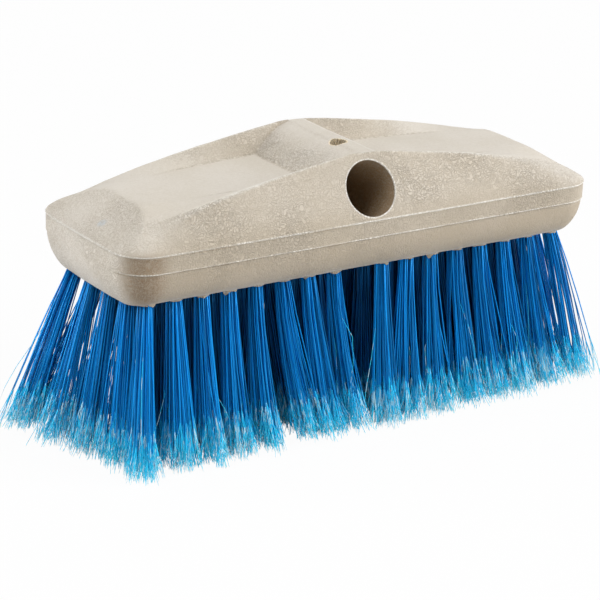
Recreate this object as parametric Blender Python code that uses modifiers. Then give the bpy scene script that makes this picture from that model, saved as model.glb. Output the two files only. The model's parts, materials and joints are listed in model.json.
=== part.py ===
# Wash brush head: a moulded foam block with a slanted handle socket, and eighty
# bristle tufts set in drilled holes in its underside. It stands on its bristle tips.
# Metres, +Z up, +X along the block, and the socket opens towards -Y.

import math

import bmesh
import bpy
from mathutils import Matrix, Vector

# The block's outline at its widest, the band that runs round it
block_length = 0.2032
block_width = 0.0686
band_corner_radius = 0.0120
band_height = 0.0063
band_end_bow = 0.0010
band_side_bow = 0.0003
band_step = 0.0005

# The rounded skirt between the band and the flat underside
skirt_height = 0.0138
skirt_inset_end = 0.0059
skirt_inset_side = 0.0097
underside_corner_radius = 0.0040

# The two long crests, which run along the block and fall away to its ends
crest_rise = 0.0222
crest_half_spacing = 0.0232
crest_end_spread = 0.0021
crest_fall_angle = math.radians(9.0)
crest_droop = 0.0073
crest_peak_radius = 0.0100
crest_end_inset = 0.0092
crest_corner_radius = 0.0090
crest_end_rise = 0.0065
slope_fullness = 0.0005
end_fullness = 0.0005

# The shallow tray on each side of the saddle that carries the socket
floor_rise = 0.0130
floor_fall = 0.0029
rail_wall_run = 0.0057
floor_narrowing = 0.0079
saddle_half_top = 0.0055
saddle_foot = 0.0192

# The handle socket, square to the front slope, and the lock hole that meets it
socket_diameter = 0.0206
socket_depth = 0.0300
socket_height_share = 0.47
lock_hole_diameter = 0.0070
lock_hole_offset = 0.0078
lock_hole_reach = 0.0180

# The tufts: a grid of drilled holes that leaves out the middle, under the socket
tuft_pitch = 0.0111
tuft_first_offset = 0.01045
tuft_end_margin = 0.0120
tuft_side_margin = 0.0111
tuft_rows = 5
tuft_hole_diameter = 0.0060
tuft_hole_depth = 0.0120
fit_clearance = 0.0003

# The bristles below the block
trim_length = 0.0635
strands_per_tuft = 5
strand_spread_share = 0.39
strand_tip_share = 0.85
end_flare = 0.0140
side_flare = 0.0030

# The slice of backing that joins three inner tufts in one piece
slice_width = 0.0034
slice_thickness = 0.0015
slice_lift = 0.0002

# How far a cutter runs past the surface that it opens
cut_overrun = 0.0030

# How finely round shapes are divided
corner_steps = 5
skirt_steps = 4
tray_steps = 7
socket_sides = 32
lock_hole_sides = 16

half_length = block_length / 2
half_width = block_width / 2
band_top = skirt_height + band_height
crest_peak = band_top + crest_rise
slope_run = half_width - crest_half_spacing
slope_angle = math.atan2(crest_rise, slope_run)
crest_half_length = half_length - crest_end_inset
crest_straight = crest_half_length - crest_corner_radius
tufts_per_half_row = 1 + int((half_length - tuft_end_margin - tuft_first_offset) / tuft_pitch)
tuft_row_pitch = 2 * (half_width - tuft_side_margin) / (tuft_rows - 1)
strand_spread = strand_spread_share * (min(tuft_pitch, tuft_row_pitch) - tuft_hole_diameter)


def clear_scene():
    for old in list(bpy.data.objects):
        bpy.data.objects.remove(old, do_unlink=True)


def make_collection(name):
    collection = bpy.data.collections.new(name)
    bpy.context.scene.collection.children.link(collection)
    return collection


def make_material(name, colour, roughness):
    material = bpy.data.materials.new(name)
    material.use_nodes = True
    shader = material.node_tree.nodes["Principled BSDF"]
    shader.inputs["Base Color"].default_value = (*colour, 1.0)
    shader.inputs["Roughness"].default_value = roughness
    shader.inputs["Metallic"].default_value = 0.0
    return material


def object_from(mesh_builder, name, collection, material=None):
    mesh = bpy.data.meshes.new(name)
    mesh_builder.to_mesh(mesh)
    mesh_builder.free()
    made = bpy.data.objects.new(name, mesh)
    collection.objects.link(made)
    if material:
        mesh.materials.append(material)
    return made


def crest_height(x):
    # A gable with a rounded top, seen from the front, which droops towards its ends
    run = math.hypot(x, crest_peak_radius) - crest_peak_radius
    droop = crest_droop * (x / half_length) ** 4
    return crest_peak - math.tan(crest_fall_angle) * run - droop


def floor_height(x):
    return band_top + floor_rise - floor_fall * (x / half_length) ** 2


def floor_edge(x):
    return crest_half_spacing - rail_wall_run - floor_narrowing * (x / half_length) ** 2


def stations():
    # Places along the crest: the saddle's top, its slope, then even steps to the end
    places = [0.0, saddle_half_top, (saddle_half_top + saddle_foot) / 2, saddle_foot]
    tray = crest_straight - saddle_foot
    places += [saddle_foot + tray * step / tray_steps for step in range(1, tray_steps + 1)]
    return places


def plan_ring(length, width, corner, end_bow, side_bow):
    # One quarter of a rounded rectangle, from the middle of the front to the middle of the end
    straight = length - corner
    points = [(station / crest_straight * straight, -width) for station in stations()]
    for step in range(1, corner_steps + 1):
        turn = step / corner_steps * math.pi / 2
        points.append(
            (straight + corner * math.sin(turn), corner - width - corner * math.cos(turn))
        )
    inner_share = floor_edge(crest_straight) / (crest_half_spacing - crest_corner_radius)
    points.append((length, (corner - width) * inner_share))
    points.append((length, 0.0))
    return [
        (
            x * (1 - end_bow / length * (y / width) ** 2),
            y * (1 - side_bow / width * (x / length) ** 2),
        )
        for x, y in points
    ]


def block_rings():
    # The rings go up the outside of the block, from the underside to the crest
    rings = []
    for step in range(skirt_steps + 1):
        lean = math.pi / 2 * (1 - step / skirt_steps)
        tuck = 1 - math.cos(lean)
        corner = band_corner_radius - band_step
        ring = plan_ring(
            half_length - band_step - skirt_inset_end * tuck,
            half_width - band_step - skirt_inset_side * tuck,
            corner + (underside_corner_radius - corner) * tuck,
            band_end_bow,
            band_side_bow,
        )
        height = skirt_height * (1 - math.sin(lean))
        rings.append([(x, y, height) for x, y in ring])
    band = plan_ring(half_length, half_width, band_corner_radius, band_end_bow, band_side_bow)
    rings.append([(x, y, skirt_height) for x, y in band])
    rings.append([(x, y, band_top) for x, y in band])
    crest = plan_ring(
        crest_half_length, crest_half_spacing, crest_corner_radius, band_end_bow, -crest_end_spread
    )
    crest_level = band_top + crest_end_rise
    crest_points = [(x, y, max(crest_height(x), crest_level)) for x, y in crest]
    rings.append(
        [
            (
                (low[0] + high[0]) / 2 + end_fullness * corner_share(low[0]),
                (low[1] + high[1]) / 2 - slope_fullness * abs(low[1]) / half_width,
                (band_top + high[2]) / 2 + slope_fullness,
            )
            for low, high in zip(band, crest_points)
        ]
    )
    rings.append(crest_points)
    return rings


def corner_share(x):
    # How far along the crest's corner a place is, from none at its straight part
    return max(0.0, x - crest_straight) / (half_length - crest_straight)


def tray_columns():
    # At each station, the inner foot of the rail and the middle of the tray or saddle
    columns = []
    saddle_height = crest_height(saddle_half_top)
    for x in stations():
        if x <= saddle_half_top:
            foot, height = crest_half_spacing, crest_height(x)
        elif x <= saddle_foot:
            share = (x - saddle_half_top) / (saddle_foot - saddle_half_top)
            foot = crest_half_spacing + (floor_edge(saddle_foot) - crest_half_spacing) * share
            height = saddle_height + (floor_height(saddle_foot) - saddle_height) * share
        else:
            foot, height = floor_edge(x), floor_height(x)
        columns.append([(x, -foot, height), (x, 0.0, height)])
    return columns


def quarter_block():
    # A quarter of the block as a loft of its rings, closed over the tray and underneath
    shell = bmesh.new()
    corners = {}

    def corner_at(point):
        key = tuple(round(value * 1e6) for value in point)
        if key not in corners:
            corners[key] = shell.verts.new(point)
        return corners[key]

    def add_face(points):
        loop = []
        for point in points:
            corner = corner_at(point)
            if corner not in loop:
                loop.append(corner)
        if len(loop) > 2:
            shell.faces.new(loop)

    rings = block_rings()
    for lower, upper in zip(rings, rings[1:]):
        for index in range(len(lower) - 1):
            add_face([lower[index], lower[index + 1], upper[index + 1], upper[index]])

    crest = rings[-1]
    columns = tray_columns()
    last = len(columns) - 1
    for index in range(last):
        here, there = columns[index], columns[index + 1]
        # The rail's inner wall, then the floor or the saddle
        add_face([crest[index], crest[index + 1], there[0]])
        add_face([crest[index], there[0], here[0]])
        add_face([here[0], there[0], there[1], here[1]])
    foot, middle = columns[last]
    for index in range(last, len(crest) - 2):
        add_face([crest[index], crest[index + 1], foot])
    add_face([foot, crest[-2], crest[-1], middle])

    add_face([(0.0, 0.0, 0.0)] + list(reversed(rings[0])))
    bmesh.ops.recalc_face_normals(shell, faces=shell.faces)
    return shell


def make_block(parts, cutters, material):
    shell = quarter_block()
    bmesh.ops.translate(shell, vec=(0.0, 0.0, trim_length), verts=shell.verts)
    block = object_from(shell, "brush_block", parts, material)
    mirror = block.modifiers.new("both_sides", "MIRROR")
    mirror.use_axis = (True, True, False)
    mirror.merge_threshold = 1e-6
    cuts = {
        "socket": socket_cutter(cutters),
        "lock_hole": lock_hole_cutter(cutters),
        "tuft_holes": tuft_hole_cutter(cutters),
        "slice_slots": slice_slot_cutter(cutters),
    }
    for name, cutter in cuts.items():
        boolean = block.modifiers.new(name, "BOOLEAN")
        boolean.operation = "DIFFERENCE"
        boolean.object = cutter
    return block


def finish_cutter(mesh_builder, name, cutters):
    cutter = object_from(mesh_builder, name, cutters)
    cutter.hide_render = True
    cutter.display_type = "WIRE"
    return cutter


def socket_centre():
    # The middle of the socket's mouth, on the front slope
    return Vector(
        (
            0.0,
            socket_height_share * slope_run - half_width,
            trim_length + band_top + socket_height_share * crest_rise,
        )
    )


def socket_cutter(cutters):
    outward = Vector((0.0, -math.sin(slope_angle), math.cos(slope_angle)))
    length = socket_depth + cut_overrun
    drill = bmesh.new()
    bmesh.ops.create_cone(
        drill,
        cap_ends=True,
        segments=socket_sides,
        radius1=socket_diameter / 2,
        radius2=socket_diameter / 2,
        depth=length,
        matrix=Matrix.Translation(socket_centre() + outward * (cut_overrun - length / 2))
        @ outward.to_track_quat("Z", "Y").to_matrix().to_4x4(),
    )
    return finish_cutter(drill, "socket_cutter", cutters)


def lock_hole_cutter(cutters):
    length = lock_hole_reach + cut_overrun
    top = trim_length + crest_peak + cut_overrun
    drill = bmesh.new()
    bmesh.ops.create_cone(
        drill,
        cap_ends=True,
        segments=lock_hole_sides,
        radius1=lock_hole_diameter / 2,
        radius2=lock_hole_diameter / 2,
        depth=length,
        matrix=Matrix.Translation((0.0, -lock_hole_offset, top - length / 2)),
    )
    return finish_cutter(drill, "lock_hole_cutter", cutters)


def tuft_columns():
    half = [tuft_first_offset + tuft_pitch * step for step in range(tufts_per_half_row)]
    return [-x for x in reversed(half)] + half


def tuft_row_places():
    middle = (tuft_rows - 1) / 2
    return [(row - middle) * tuft_row_pitch for row in range(tuft_rows)]


def tuft_hole_cutter(cutters):
    length = tuft_hole_depth + cut_overrun
    drill = bmesh.new()
    for x in tuft_columns():
        for y in tuft_row_places():
            bmesh.ops.create_cone(
                drill,
                cap_ends=True,
                segments=2 * strands_per_tuft,
                radius1=tuft_hole_diameter / 2,
                radius2=tuft_hole_diameter / 2,
                depth=length,
                matrix=Matrix.Translation((x, y, trim_length + tuft_hole_depth - length / 2)),
            )
    return finish_cutter(drill, "tuft_hole_cutter", cutters)


def box_at(mesh_builder, centre, size):
    bmesh.ops.create_cube(
        mesh_builder, size=1.0, matrix=Matrix.Translation(centre) @ Matrix.Diagonal((*size, 1.0))
    )


def slice_slot_cutter(cutters):
    rows = tuft_row_places()
    top = trim_length + slice_lift + slice_thickness + fit_clearance
    bottom = trim_length - cut_overrun
    slot_width = slice_width + 2 * fit_clearance
    slots = bmesh.new()
    for x in tuft_columns()[1:-1]:
        box_at(slots, (x, 0.0, (top + bottom) / 2), (slot_width, rows[-2] - rows[1], top - bottom))
    return finish_cutter(slots, "slice_slot_cutter", cutters)


def tip_centre(x, y):
    # Tufts lean outwards, most at the block's ends and long edges
    columns = tuft_columns()
    rows = tuft_row_places()
    lean_x = end_flare * (x / columns[-1]) * abs(x / columns[-1])
    lean_y = side_flare * (y / rows[-1]) * abs(y / rows[-1])
    return Vector((x + lean_x, y + lean_y, 0.0))


def tuft_mesh(x, y):
    # A plug that fills the hole, with one strand drawn down from each fifth of its mouth
    plug_length = tuft_hole_depth - fit_clearance
    plug_radius = tuft_hole_diameter / 2 - fit_clearance
    tuft = bmesh.new()
    bmesh.ops.create_cone(
        tuft,
        cap_ends=True,
        segments=2 * strands_per_tuft,
        radius1=plug_radius,
        radius2=plug_radius,
        depth=plug_length,
        matrix=Matrix.Translation((x, y, trim_length + plug_length / 2)),
    )
    mouth = min(tuft.faces, key=lambda face: face.calc_center_median().z)
    rim = list(mouth.verts)
    spokes = bmesh.ops.poke(tuft, faces=[mouth])
    hub = spokes["verts"][0]
    # On the left half the pattern is turned round, so the brush stays the same at both ends
    first = max(rim, key=lambda vert: vert.co.x * math.copysign(1.0, x))
    ordered = sorted(rim, key=lambda vert: angle_from(first, vert, hub))
    dropped = [
        edge
        for edge in hub.link_edges
        if ordered.index(edge.other_vert(hub)) % 2 == 0
    ]
    bmesh.ops.dissolve_edges(tuft, edges=dropped)
    sectors = [face for face in hub.link_faces]
    centre = Vector((x, y, 0.0))
    target = tip_centre(x, y)
    for tip in bmesh.ops.extrude_discrete_faces(tuft, faces=sectors)["faces"]:
        middle = tip.calc_center_median()
        outward = (middle - centre).to_2d().normalized().to_3d()
        for vert in tip.verts:
            offset = (vert.co - middle) * strand_tip_share
            vert.co = target + (middle - centre) + outward * strand_spread + offset
            vert.co.z = 0.0
    bmesh.ops.recalc_face_normals(tuft, faces=tuft.faces)
    return tuft


def angle_from(first, vert, hub):
    base = (first.co - hub.co).to_2d()
    ray = (vert.co - hub.co).to_2d()
    turn = math.atan2(base.x * ray.y - base.y * ray.x, base.dot(ray))
    return turn if turn > -1e-4 else turn + 2 * math.pi


def make_tuft(name, x, y, parts, material):
    return object_from(tuft_mesh(x, y), name, parts, material)


def make_joined_tufts(name, x, rows, parts, cutters, material):
    # Three inner tufts joined by a thin slice of the block's underside
    joined = make_tuft(name, x, rows[0], parts, material)
    backing = bmesh.new()
    box_at(
        backing,
        (x, (rows[0] + rows[-1]) / 2, trim_length + slice_lift + slice_thickness / 2),
        (slice_width, rows[-1] - rows[0], slice_thickness),
    )
    pieces = [finish_cutter(backing, name + "_slice", cutters)]
    for index, y in enumerate(rows[1:]):
        pieces.append(finish_cutter(tuft_mesh(x, y), f"{name}_more_{index + 1}", cutters))
    for piece in pieces:
        boolean = joined.modifiers.new("join_" + piece.name, "BOOLEAN")
        boolean.operation = "UNION"
        boolean.object = piece
    return joined


def make_tufts(parts, cutters, material):
    columns = tuft_columns()
    rows = tuft_row_places()
    for index, x in enumerate(columns):
        number = f"{index + 1:02d}"
        make_tuft("tuft_front_" + number, x, rows[0], parts, material)
        make_tuft("tuft_back_" + number, x, rows[-1], parts, material)
        if x in (columns[0], columns[-1]):
            side = "left" if x < 0 else "right"
            for place, y in enumerate(rows[1:-1]):
                make_tuft(f"tuft_{side}_end_{place + 1}", x, y, parts, material)
        else:
            make_joined_tufts("tuft_inner_" + number, x, rows[1:-1], parts, cutters, material)


def main():
    clear_scene()
    parts = make_collection("wash_brush")
    cutters = make_collection("cutters")
    foam = make_material("structural_foam", (0.62, 0.57, 0.49), 0.62)
    bristle = make_material("blue_bristle", (0.01, 0.14, 0.42), 0.38)
    make_block(parts, cutters, foam)
    make_tufts(parts, cutters, bristle)


main()
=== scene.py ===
# The wash brush head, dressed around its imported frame: the moulded foam block with its
# parting lines and crinkled skin, and every bristle tuft as a bundle of split filaments.
import json
import math

import bmesh
import bpy
import numpy as np
from mathutils import Matrix, Vector, noise

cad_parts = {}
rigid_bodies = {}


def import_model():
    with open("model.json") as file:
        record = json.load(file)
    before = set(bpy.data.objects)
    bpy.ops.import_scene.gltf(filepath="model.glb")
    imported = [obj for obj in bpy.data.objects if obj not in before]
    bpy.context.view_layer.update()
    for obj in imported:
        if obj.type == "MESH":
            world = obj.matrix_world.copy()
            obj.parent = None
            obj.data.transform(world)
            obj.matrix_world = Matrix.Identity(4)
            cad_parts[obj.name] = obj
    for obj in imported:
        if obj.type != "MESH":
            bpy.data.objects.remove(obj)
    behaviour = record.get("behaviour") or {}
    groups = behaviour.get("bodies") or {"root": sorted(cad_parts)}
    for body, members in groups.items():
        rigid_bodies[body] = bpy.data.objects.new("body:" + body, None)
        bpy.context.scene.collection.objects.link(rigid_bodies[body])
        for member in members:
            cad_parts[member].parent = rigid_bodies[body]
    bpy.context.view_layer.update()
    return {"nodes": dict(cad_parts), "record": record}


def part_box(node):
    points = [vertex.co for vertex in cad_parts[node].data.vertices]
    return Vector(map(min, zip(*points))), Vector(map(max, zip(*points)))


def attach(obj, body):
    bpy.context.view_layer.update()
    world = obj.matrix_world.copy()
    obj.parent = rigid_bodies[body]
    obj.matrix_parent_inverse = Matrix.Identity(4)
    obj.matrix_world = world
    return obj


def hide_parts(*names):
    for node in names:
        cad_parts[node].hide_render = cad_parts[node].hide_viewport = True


mm = 0.001
upAxis = Vector((0.0, 0.0, 1.0))
white = (1.0, 1.0, 1.0, 1.0)
fullTurn = 2 * math.pi
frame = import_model()
record = frame["record"]
blockLow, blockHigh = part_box("brush_block")
underside, peak = blockLow.z, blockHigh.z
halfLength, halfWidth = blockHigh.x, blockHigh.y
print("frame loaded:", len(frame["nodes"]), "nodes")


def inMetres(sizes):
    return {name: value * mm for name, value in sizes.items()}


def softMin(a, b, reach):
    # The lower of two heights, with a rounded meeting of that reach
    blend = max(reach - abs(a - b), 0.0) / reach
    return min(a, b) - blend * blend * reach / 4


def softMax(a, b, reach):
    return -softMin(-a, -b, reach)


def clamped(value, low=0.0, high=1.0):
    return min(max(value, low), high)


def nearness(gap, reach):
    return clamped(1 - abs(gap) / reach)


def mixed(a, b, share):
    return a + (b - a) * share


def meshObject(name, builder, material):
    mesh = bpy.data.meshes.new(name)
    builder.to_mesh(mesh)
    builder.free()
    mesh.materials.append(material)
    piece = bpy.data.objects.new(name, mesh)
    bpy.context.scene.collection.objects.link(piece)
    return piece


# Materials

def startMaterial(name):
    material = bpy.data.materials.new(name)
    material.use_nodes = True
    return material, material.node_tree, material.node_tree.nodes["Principled BSDF"]


def addNode(tree, kind, inputs, **settings):
    # A node with its settings, and each input either a value or another node's socket
    node = tree.nodes.new(kind)
    for name, value in settings.items():
        setattr(node, name, value)
    for name, value in inputs.items():
        if isinstance(value, bpy.types.NodeSocket):
            tree.links.new(value, node.inputs[name])
        else:
            node.inputs[name].default_value = value
    return node


def addMath(tree, operation, first, second=0.0):
    return addNode(tree, "ShaderNodeMath", {0: first, 1: second}, operation=operation).outputs[0]


def addTimes(tree, first, *others):
    for other in others:
        first = addMath(tree, "MULTIPLY", first, other)
    return first


def addInverse(tree, share):
    return addMath(tree, "SUBTRACT", 1.0, share)


def addRange(tree, value, low, high):
    # Nought below low, one above high, and smooth between
    inputs = {"Value": value, "From Min": low, "From Max": high}
    return addNode(tree, "ShaderNodeMapRange", inputs, interpolation_type="SMOOTHSTEP").outputs[0]


def addVector(tree, operation, *vectors):
    # A vector, or a number where the operation gives a length or a dot product
    node = addNode(tree, "ShaderNodeVectorMath", dict(enumerate(vectors)), operation=operation)
    return node.outputs["Value" if operation in ("LENGTH", "DOT_PRODUCT") else "Vector"]


def addParts(tree, vector):
    return addNode(tree, "ShaderNodeSeparateXYZ", {"Vector": vector}).outputs


def addNoise(tree, place, scale, detail, output=0):
    inputs = {"Vector": place, "Scale": scale, "Detail": detail}
    return addNode(tree, "ShaderNodeTexNoise", inputs).outputs[output]


def addMix(tree, share, first, second, blend="MIX"):
    node = addNode(
        tree, "ShaderNodeMix", {"Factor": share}, data_type="RGBA", blend_type=blend
    )
    for socket, value in ((node.inputs[6], first), (node.inputs[7], second)):
        if isinstance(value, bpy.types.NodeSocket):
            tree.links.new(value, socket)
        else:
            socket.default_value = (*value, 1.0)
    return node.outputs[2]


def addRamp(tree, value, stops):
    ramp = addNode(tree, "ShaderNodeValToRGB", {"Fac": value})
    while len(ramp.color_ramp.elements) < len(stops):
        ramp.color_ramp.elements.new(0.5)
    for element, (place, colour) in zip(ramp.color_ramp.elements, stops):
        element.position = place
        element.color = (*colour, 1.0)
    return ramp.outputs["Color"]


def addDistance(tree, place, axis, point):
    # How far a place is from a line through the point along the axis
    offset = addVector(tree, "SUBTRACT", place, point)
    return addVector(tree, "LENGTH", addVector(tree, "CROSS_PRODUCT", offset, axis)), offset


# The foam's colours and skin. A pair is where a fade starts and where it is complete.

foamLook = {
    "pale": (0.680, 0.632, 0.562),
    "warm": (0.630, 0.578, 0.497),
    # Painted shade: the long sides are darkened and browned, the skirt a little more
    "sideShade": (0.745, 0.695, 0.62),
    "skirtShade": (0.93, 0.905, 0.87),
    "roughness": 0.62,
    "mottleScale": 38.0,
    "speckScale": 900.0,
    "speckShare": 0.5,
    "tintFade": (0.55, 0.95),
    "sideFacing": (0.35, 0.85),
    "slopeRise": 7 * mm,
    "slopeShare": 0.3,
    "skirtFade": 2 * mm,
    # Painted shade, with some grime, on one lower corner
    "cornerShade": (0.51, 0.40, 0.29),
    "cornerShadePlace": (-94.5 * mm, -32.5 * mm, 0.0),
    "cornerShadeFade": (3 * mm, 12 * mm),
    "cornerShadeTop": (-1 * mm, 2 * mm),
    "cornerMottleShare": 0.9,
    "leastCornerMottle": 0.35,
    # Painted highlight, on the parting lines, the crests and the socket's rim
    "paleHighlight": (0.76, 0.73, 0.67),
    "lineFade": (0.1 * mm, 0.45 * mm),
    "leastLine": 0.35,
    "lineBreaks": (0.30, 0.50),
    "lineEnd": (1.3 * mm, 0.5 * mm),
    # Painted shadow under the parting lines
    "lineShadow": (0.36, 0.295, 0.215),
    "lineShadowDrop": 0.55 * mm,
    "lineShadowFade": (0.1 * mm, 0.35 * mm),
    "mostLineShadow": 1.1,
    # Painted highlight along the crests, partly wear
    "crestLineShare": 0.8,
    # Painted shade in the creases
    "crease": (0.32, 0.255, 0.175),
    "creaseShare": 0.7,
    "creaseBreaks": (0.38, 0.62),
    "scuff": (0.50, 0.59, 0.68),
    "scuffPlace": (-95.3 * mm, -3.7 * mm, 87.8 * mm),
    "scuffStretch": (0.45, 0.6, 1.0),
    "scuffFade": (0.6 * mm, 1.6 * mm),
    "scuffShare": 0.5,
    # Painted shade in the socket, and painted light on the lock hole's wall
    "boreShade": (0.34, 0.235, 0.135),
    "litLockWall": (0.95, 0.83, 0.62),
    "rimFade": (0.30 * mm, 0.65 * mm),
    "boreSlack": 0.12 * mm,
    "boreStart": 0.4 * mm,
    "boreEnd": 0.5 * mm,
    "lockSlack": 0.02 * mm,
    "wrinkle": (0.44, 0.375, 0.29),
    "wrinkleShare": 0.88,
    "wanderScale": 300.0,
    "wanderReach": 0.006,
    "crinkleScale": 900.0,
    "crinkleWidth": 0.16,
    "crinkleDepth": 0.19 * mm,
    "patchScale": 45.0,
    "patchFade": (0.35, 0.66),
    "leastPatch": 0.65,
    "flatFacing": (0.86, 0.97),
    "flatShare": 0.8,
    "smoothSkirt": (-30 * mm, 60 * mm),
    "smoothSkirtShare": 0.5,
    "smoothEnd": (80 * mm, 96 * mm),
    "smoothEndShare": 0.25,
    "lumpScale": 420.0,
    "lumpDepth": 0.10 * mm,
    "grainScale": 1500.0,
    "grainDepth": 0.03 * mm,
}


def tintAndShadeFoam(tree, height, mottle, speck, sideways, onSkirt):
    # Slow mottling and fine specks, with painted shade, browner, on the long sides and a
    # little more on the skirt
    tint = addMath(tree, "ADD", mottle, addTimes(tree, speck, foamLook["speckShare"]))
    tint = addRange(tree, tint, *foamLook["tintFade"])
    colour = addMix(tree, tint, foamLook["warm"], foamLook["pale"])
    onSlope = addRange(tree, height, bandTop, bandTop + foamLook["slopeRise"])
    lower = addInverse(tree, addTimes(tree, onSlope, foamLook["slopeShare"]))
    share = addTimes(tree, sideways, lower)
    # Painted shade on the long sides, faded out up the slope
    colour = addMix(tree, share, colour, foamLook["sideShade"], "MULTIPLY")
    share = addTimes(tree, sideways, onSkirt)
    return addMix(tree, share, colour, foamLook["skirtShade"], "MULTIPLY")


def addCornerShade(tree, colour, place, height, speck):
    # Painted shade, with some grime: one lower corner is darkened and browned
    away = addDistance(tree, place, upAxis, foamLook["cornerShadePlace"])[0]
    low, high = (bandTop + reach for reach in foamLook["cornerShadeTop"])
    below = addInverse(tree, addRange(tree, height, low, high))
    darkened = addTimes(tree, addInverse(tree, addRange(tree, away, *foamLook["cornerShadeFade"])), below)
    cornerMottle = addTimes(tree, speck, foamLook["cornerMottleShare"])
    cornerMottle = addMath(tree, "ADD", cornerMottle, foamLook["leastCornerMottle"])
    return addMix(tree, addTimes(tree, darkened, cornerMottle), colour, foamLook["cornerShade"], "MULTIPLY")


def addPartingLines(tree, colour, along, height, mottle):
    # A painted highlight on each, with a painted shadow under it, and broken off here and
    # there. The lower one doesn't run round the ends.
    broken = addRange(tree, mottle, *foamLook["lineBreaks"])
    low, high = (halfLength - reach for reach in foamLook["lineEnd"])
    endFace = addRange(tree, addMath(tree, "ABSOLUTE", along), low, high)
    for level, faded in ((bandTop, 0.0), (bandBottom, endFace)):
        shown = addInverse(tree, faded)
        away = addMath(tree, "SUBTRACT", height, level)
        below = addMath(tree, "ABSOLUTE", addMath(tree, "ADD", away, foamLook["lineShadowDrop"]))
        shade = addInverse(tree, addRange(tree, below, *foamLook["lineShadowFade"]))
        gaps = addMath(tree, "SUBTRACT", foamLook["mostLineShadow"], broken)
        # Painted shadow under the line
        colour = addMix(tree, addTimes(tree, shade, gaps, shown), colour, foamLook["lineShadow"])
        away = addMath(tree, "ABSOLUTE", away)
        line = addInverse(tree, addRange(tree, away, *foamLook["lineFade"]))
        left = addMath(tree, "MAXIMUM", broken, foamLook["leastLine"])
        # Painted highlight on the line
        colour = addMix(tree, addTimes(tree, line, left, shown), colour, foamLook["paleHighlight"])
    return colour


def addCrestLineAndCreaseShade(tree, colour, speck):
    # The crests get a pale line, partly wear and partly painted highlight, and the creases
    # get painted shade in broken lines
    worn = addNode(tree, "ShaderNodeAttribute", {}, attribute_name="worn").outputs["Fac"]
    worn = addTimes(tree, worn, foamLook["crestLineShare"])
    colour = addMix(tree, worn, colour, foamLook["paleHighlight"])
    crease = addNode(tree, "ShaderNodeAttribute", {}, attribute_name="crease").outputs["Fac"]
    broken = addRange(tree, speck, *foamLook["creaseBreaks"])
    crease = addTimes(tree, crease, broken, foamLook["creaseShare"])
    return addMix(tree, crease, colour, foamLook["crease"])


def addScuff(tree, colour, place):
    # A blue scuff near the left end
    away = addVector(tree, "SUBTRACT", place, foamLook["scuffPlace"])
    reach = addVector(
        tree, "LENGTH", addVector(tree, "MULTIPLY", away, foamLook["scuffStretch"])
    )
    scuffed = addInverse(tree, addRange(tree, reach, *foamLook["scuffFade"]))
    scuffed = addTimes(tree, scuffed, foamLook["scuffShare"])
    return addMix(tree, scuffed, colour, foamLook["scuff"])


def addHoleWalls(tree, colour, place, mouth, outward, lockPlace):
    # The socket's rim gets a painted highlight, its wall painted shade in dark brown, and the
    # lock hole's wall painted light in pale cream
    fromAxis, fromMouth = addDistance(tree, place, outward, mouth)
    along = addVector(tree, "DOT_PRODUCT", fromMouth, outward)
    gap = addMath(tree, "SUBTRACT", fromAxis, block["socketDiameter"] / 2)
    end = -block["socketDepth"] - foamLook["boreEnd"]
    within = addMath(tree, "GREATER_THAN", along, end)
    rim = addInverse(tree, addRange(tree, gap, *foamLook["rimFade"]))
    colour = addMix(tree, addTimes(tree, rim, within), colour, foamLook["paleHighlight"])
    fromLock = addDistance(tree, place, upAxis, lockPlace)[0]
    reach = block["lockHoleDiameter"] / 2 + foamLook["lockSlack"]
    inLock = addMath(tree, "LESS_THAN", fromLock, reach)
    colour = addMix(tree, inLock, colour, foamLook["litLockWall"])
    inside = addMath(tree, "LESS_THAN", gap, foamLook["boreSlack"])
    past = addMath(tree, "LESS_THAN", along, -foamLook["boreStart"])
    return addMix(tree, addTimes(tree, inside, past, within), colour, foamLook["boreShade"])


def addCrinkles(tree, place, along, upward, onSkirt):
    # Leathery ridges, and how strong they are: in patches, and weaker on flat and on
    # smooth places
    wander = addNoise(tree, place, foamLook["wanderScale"], 2.0, "Color")
    drift = addNode(
        tree, "ShaderNodeVectorMath", {0: wander, "Scale": foamLook["wanderReach"]},
        operation="SCALE",
    ).outputs[0]
    crinkle = addNode(
        tree,
        "ShaderNodeTexVoronoi",
        {"Vector": addVector(tree, "ADD", place, drift), "Scale": foamLook["crinkleScale"]},
        feature="DISTANCE_TO_EDGE",
    )
    ridge = addRange(tree, crinkle.outputs["Distance"], 0.0, foamLook["crinkleWidth"])
    patch = addNoise(tree, place, foamLook["patchScale"], 1.0)
    patchy = addRange(tree, patch, *foamLook["patchFade"])
    patchy = addTimes(tree, patchy, 1.0 - foamLook["leastPatch"])
    patchy = addMath(tree, "ADD", patchy, foamLook["leastPatch"])
    flat = addTimes(tree, addRange(tree, upward, *foamLook["flatFacing"]), foamLook["flatShare"])
    patchy = addTimes(tree, patchy, addInverse(tree, flat))
    right = addRange(tree, along, *foamLook["smoothSkirt"])
    smooth = addTimes(tree, onSkirt, right, foamLook["smoothSkirtShare"])
    nearEnd = addRange(tree, addMath(tree, "ABSOLUTE", along), *foamLook["smoothEnd"])
    nearEnd = addTimes(tree, nearEnd, foamLook["smoothEndShare"])
    smooth = addMath(tree, "MAXIMUM", smooth, nearEnd)
    return ridge, addTimes(tree, patchy, addInverse(tree, smooth))


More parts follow.
